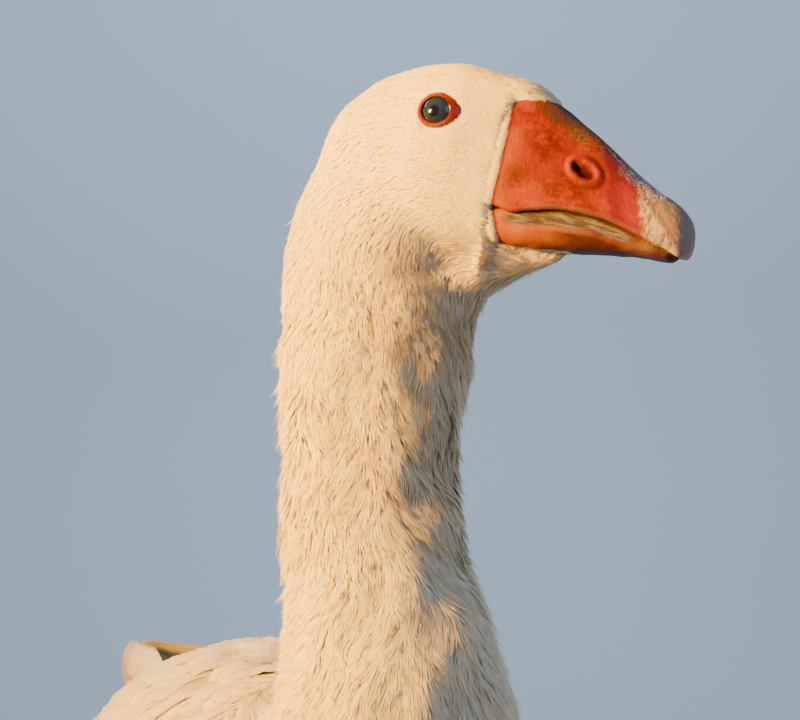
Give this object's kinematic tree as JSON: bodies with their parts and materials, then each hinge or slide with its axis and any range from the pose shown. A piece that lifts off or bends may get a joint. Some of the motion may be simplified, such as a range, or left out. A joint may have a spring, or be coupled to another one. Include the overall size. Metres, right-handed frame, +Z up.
{
  "type": "domestic goose figure",
  "caption": "Life-size still model of a large white domestic goose standing on both webbed feet, neck upright, head turned to its left.",
  "frame": {"origin": "on the ground, under the middle of the whole bird's bounding box", "axes": "+Z up, +X the way the body faces, +Y the bird's left"},
  "size_m": [0.603, 0.2462, 0.6692],
  "materials": {
    "plumage": "soft white feathers, matt, with a faint warm cast",
    "bill": "orange horn skin, satin, with redder and yellower patches",
    "nail": "tan horn, smooth and slightly glossy",
    "eye": "wet dark slate-blue eye, very glossy",
    "leg": "scaly orange skin, satin",
    "claw": "grey-brown horn"
  },
  "bodies": {
    "root": {"belly": "plumage", "bill_lower": "bill", "bill_nail": "nail", "bill_upper": "bill", "breast": "plumage", "claw_hind_left": "claw", "claw_hind_right": "claw", "claw_inner_left": "claw", "claw_inner_right": "claw", "claw_middle_left": "claw", "claw_middle_right": "claw", "claw_outer_left": "claw", "claw_outer_right": "claw", "eye_left": "eye", "eye_right": "eye", "foot_left": "leg", "foot_right": "leg", "head": "plumage", "neck_lower": "plumage", "neck_middle": "plumage", "neck_upper": "plumage", "rump": "plumage", "shank_left": "leg", "shank_right": "leg", "tail": "plumage", "thigh_left": "plumage", "thigh_right": "plumage", "wing_coverts_left": "plumage", "wing_coverts_right": "plumage", "wing_primaries_left": "plumage", "wing_primaries_right": "plumage", "wing_secondaries_left": "plumage", "wing_secondaries_right": "plumage"}
  },
  "joints": []
}
